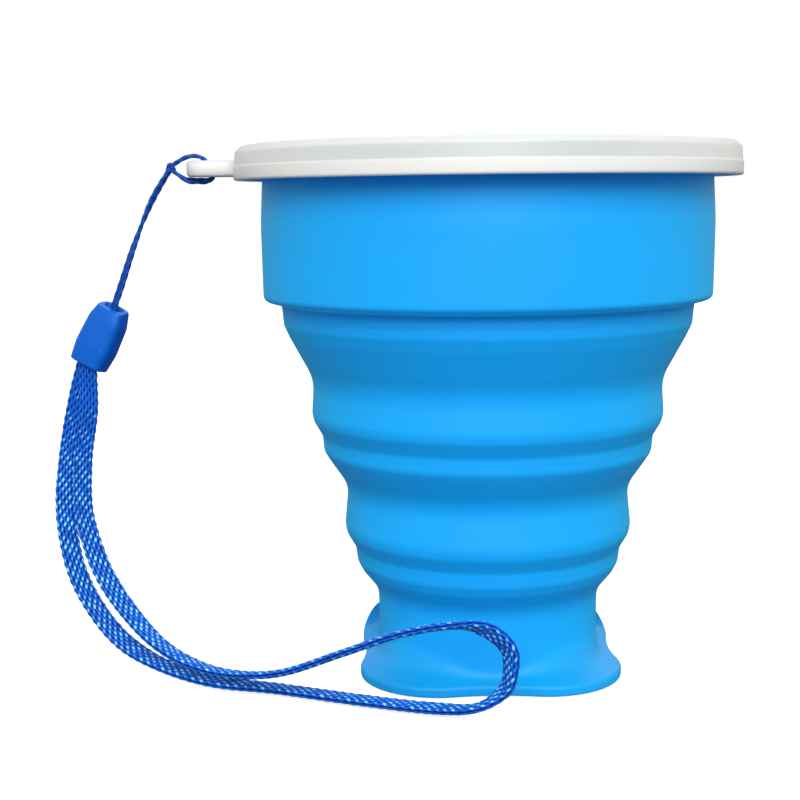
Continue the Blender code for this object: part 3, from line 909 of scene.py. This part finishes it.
def make_strap(core_surface, yarn_surface):
    """Flat knitted cord: columns of long slanting stitches round a core coloured dark as painted shade
    between them. Neighbouring columns are half a stitch apart."""
    path, wide = strap_line()
    path, (wide,), run = even(path, [wide], STRAP_STEP)
    _, wide, thin = frames_along(path, wide)
    half_wide, half_thick = STRAP_WIDTH / 2 - 0.2, STRAP_THICK / 2 - 0.2
    core_rows = tube_rows(path, wide, half_wide, half_thick, 20, power=0.7)
    core = join_rows("strap_core", [core_rows[::2]], core_surface)
    a = np.linspace(0, 2 * math.pi, 8, endpoint=False)[None, :]
    from_sleeve = np.minimum(run, run[-1] - run)
    shine = 0.72 + 0.28 * np.clip(from_sleeve / 24.0, 0, 1)     # the stitches' painted highlight fades towards the sleeve
    tubes, lifts = [], []
    for k, (place, out) in enumerate(zip(*flat_ring(half_wide, half_thick, YARNS))):
        phase = 2 * math.pi * (run / STITCH + 0.5 * (k % 2))
        bead = 0.5 + 0.5 * np.cos(phase)            # 1 where a stitch lies highest, 0 where it dives under
        outward = wide * out[0] + thin * out[1]
        beside = wide * -out[1] + thin * out[0]
        middle = path + wide * place[0] + thin * place[1]
        middle = middle + outward * (0.02 + 0.09 * bead)[:, None] + beside * (0.09 * np.sin(phase))[:, None]
        yarn_wide = (0.24 + 0.08 * bead)[:, None] * np.cos(a)
        yarn_high = 0.17 * np.sin(a)
        tubes.append(middle[:, None, :] + beside[:, None, :] * yarn_wide[..., None]
                     + outward[:, None, :] * yarn_high[..., None])
        # painted glints vary along each yarn; the painted highlight is brightest on each yarn's outward side
        glint = 0.88 + 0.12 * np.sin(run * 1.7 + 2.1 * k) * np.sin(run * 0.61 + 0.9 * k)
        lifts.append((bead ** 0.28 * shine * glint)[:, None] * (0.5 + 0.5 * np.sin(a)))
    knit = join_rows("strap_knit", tubes, yarn_surface, lifts)
    for piece in (core, knit):
        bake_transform(piece)
    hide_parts("wrist_strap")


# ---------------------------------------------------------------- stage

def make_floor():
    """A plain floor, pale to the camera and darker as a source of light from below."""
    size = 6.0
    corners = [(-size, -size, 0), (size, -size, 0), (size, size, 0), (-size, size, 0)]
    mesh = bpy.data.meshes.new("floor")
    mesh.from_pydata(corners, [], [(0, 1, 2, 3)])
    floor = bpy.data.objects.new("floor", mesh)
    floor.location.z = -0.0001
    bpy.context.scene.collection.objects.link(floor)
    look = Look("pale_floor")
    seen = look.add("ShaderNodeLightPath").outputs["Is Camera Ray"]
    look.feed("Base Color", look.mix(seen, (0.09, 0.12, 0.19), (0.5, 0.5, 0.5)))
    look.feed("Emission Strength", seen)
    look.set(Roughness=0.9, Emission_Color=(0.8, 0.8, 0.8, 1.0))
    mesh.materials.append(look.material)


def make_world():
    """White to the camera. As a light it is a little brighter in front and low than behind and above."""
    world = bpy.data.worlds.new("studio")
    world.use_nodes = True
    bpy.context.scene.world = world
    tree = world.node_tree
    tree.nodes.clear()
    out = tree.nodes.new("ShaderNodeOutputWorld")
    mix = tree.nodes.new("ShaderNodeMixShader")
    seen = tree.nodes.new("ShaderNodeBackground")
    light = tree.nodes.new("ShaderNodeBackground")
    path = tree.nodes.new("ShaderNodeLightPath")
    seen.inputs["Color"].default_value = (1.0, 1.0, 1.0, 1.0)
    light.inputs["Color"].default_value = (1.0, 1.0, 1.0, 1.0)
    coords = tree.nodes.new("ShaderNodeTexCoord")
    facing = tree.nodes.new("ShaderNodeVectorMath")
    facing.operation = "DOT_PRODUCT"
    facing.inputs[1].default_value = Vector((0.04, -0.9, -0.5)).normalized()
    ramp = tree.nodes.new("ShaderNodeMapRange")
    ramp.inputs["From Min"].default_value = -0.7
    ramp.inputs["From Max"].default_value = 0.9
    ramp.inputs["To Min"].default_value = 0.68
    ramp.inputs["To Max"].default_value = 0.76
    tree.links.new(coords.outputs["Generated"], facing.inputs[0])
    tree.links.new(facing.outputs["Value"], ramp.inputs["Value"])
    tree.links.new(ramp.outputs["Result"], light.inputs["Strength"])
    tree.links.new(path.outputs["Is Camera Ray"], mix.inputs["Fac"])
    tree.links.new(light.outputs["Background"], mix.inputs[1])
    tree.links.new(seen.outputs["Background"], mix.inputs[2])
    tree.links.new(mix.outputs["Shader"], out.inputs["Surface"])


def area_light(name, place, aim, size, power):
    """A round soft light that faces a point."""
    light = bpy.data.lights.new(name, "AREA")
    light.shape = "DISK"
    light.size = size
    light.energy = power
    made = bpy.data.objects.new(name, light)
    made.location = place
    made.rotation_euler = (Vector(aim) - Vector(place)).to_track_quat("-Z", "Y").to_euler()
    bpy.context.scene.collection.objects.link(made)


def make_lights():
    aim = (0.0, 0.0, 0.045)
    area_light("key_light", (0.02, -1.0, 0.80), aim, 1.0, 15.0)
    area_light("back_light", (0.2, 0.9, 0.7), aim, 0.7, 2.0)


def make_camera():
    """Level with the lid's skirt, looking slightly down, with a small roll."""
    place = Vector((-15.5, -257.0, 83.0)) * MM
    pitch, roll = math.radians(7.85), math.radians(0.63)
    data = bpy.data.cameras.new("camera")
    data.lens = 65.25
    data.sensor_width = 36.0
    data.clip_start = 0.01
    camera = bpy.data.objects.new("camera", data)
    turn = Matrix.Rotation(math.pi / 2 - pitch, 4, "X") @ Matrix.Rotation(-roll, 4, "Z")
    camera.matrix_world = Matrix.Translation(place) @ turn
    bpy.context.scene.collection.objects.link(camera)
    bpy.context.scene.camera = camera


def main():
    bpy.context.scene.view_settings.view_transform = "Standard"
    make_cup(silicone_material())
    make_lid(lid_material())
    # each yarn's second colour is a painted highlight where it lies on top, its first a painted shade where
    # it dives under
    make_cord(yarn_material("cord_nylon", (0.001, 0.045, 0.28), (0.002, 0.09, 0.42), 0.5, 0.2))
    make_sleeve(sleeve_material())
    make_strap(
        # the core is coloured darker than the yarn, a painted shade in the gaps between the stitches
        yarn_material("strap_core_yarn", (0.001, 0.02, 0.24), (0.002, 0.05, 0.36), 0.8, 0.1),
        yarn_material("strap_yarn", (0.001, 0.105, 0.54), (0.24, 0.66, 1.0), 0.5, 0.2),
    )
    crimp = frame["nodes"]["strap_crimp"].data
    crimp.materials.clear()
    crimp.materials.append(crimp_material())
    make_floor()
    make_world()
    make_lights()
    make_camera()


main()
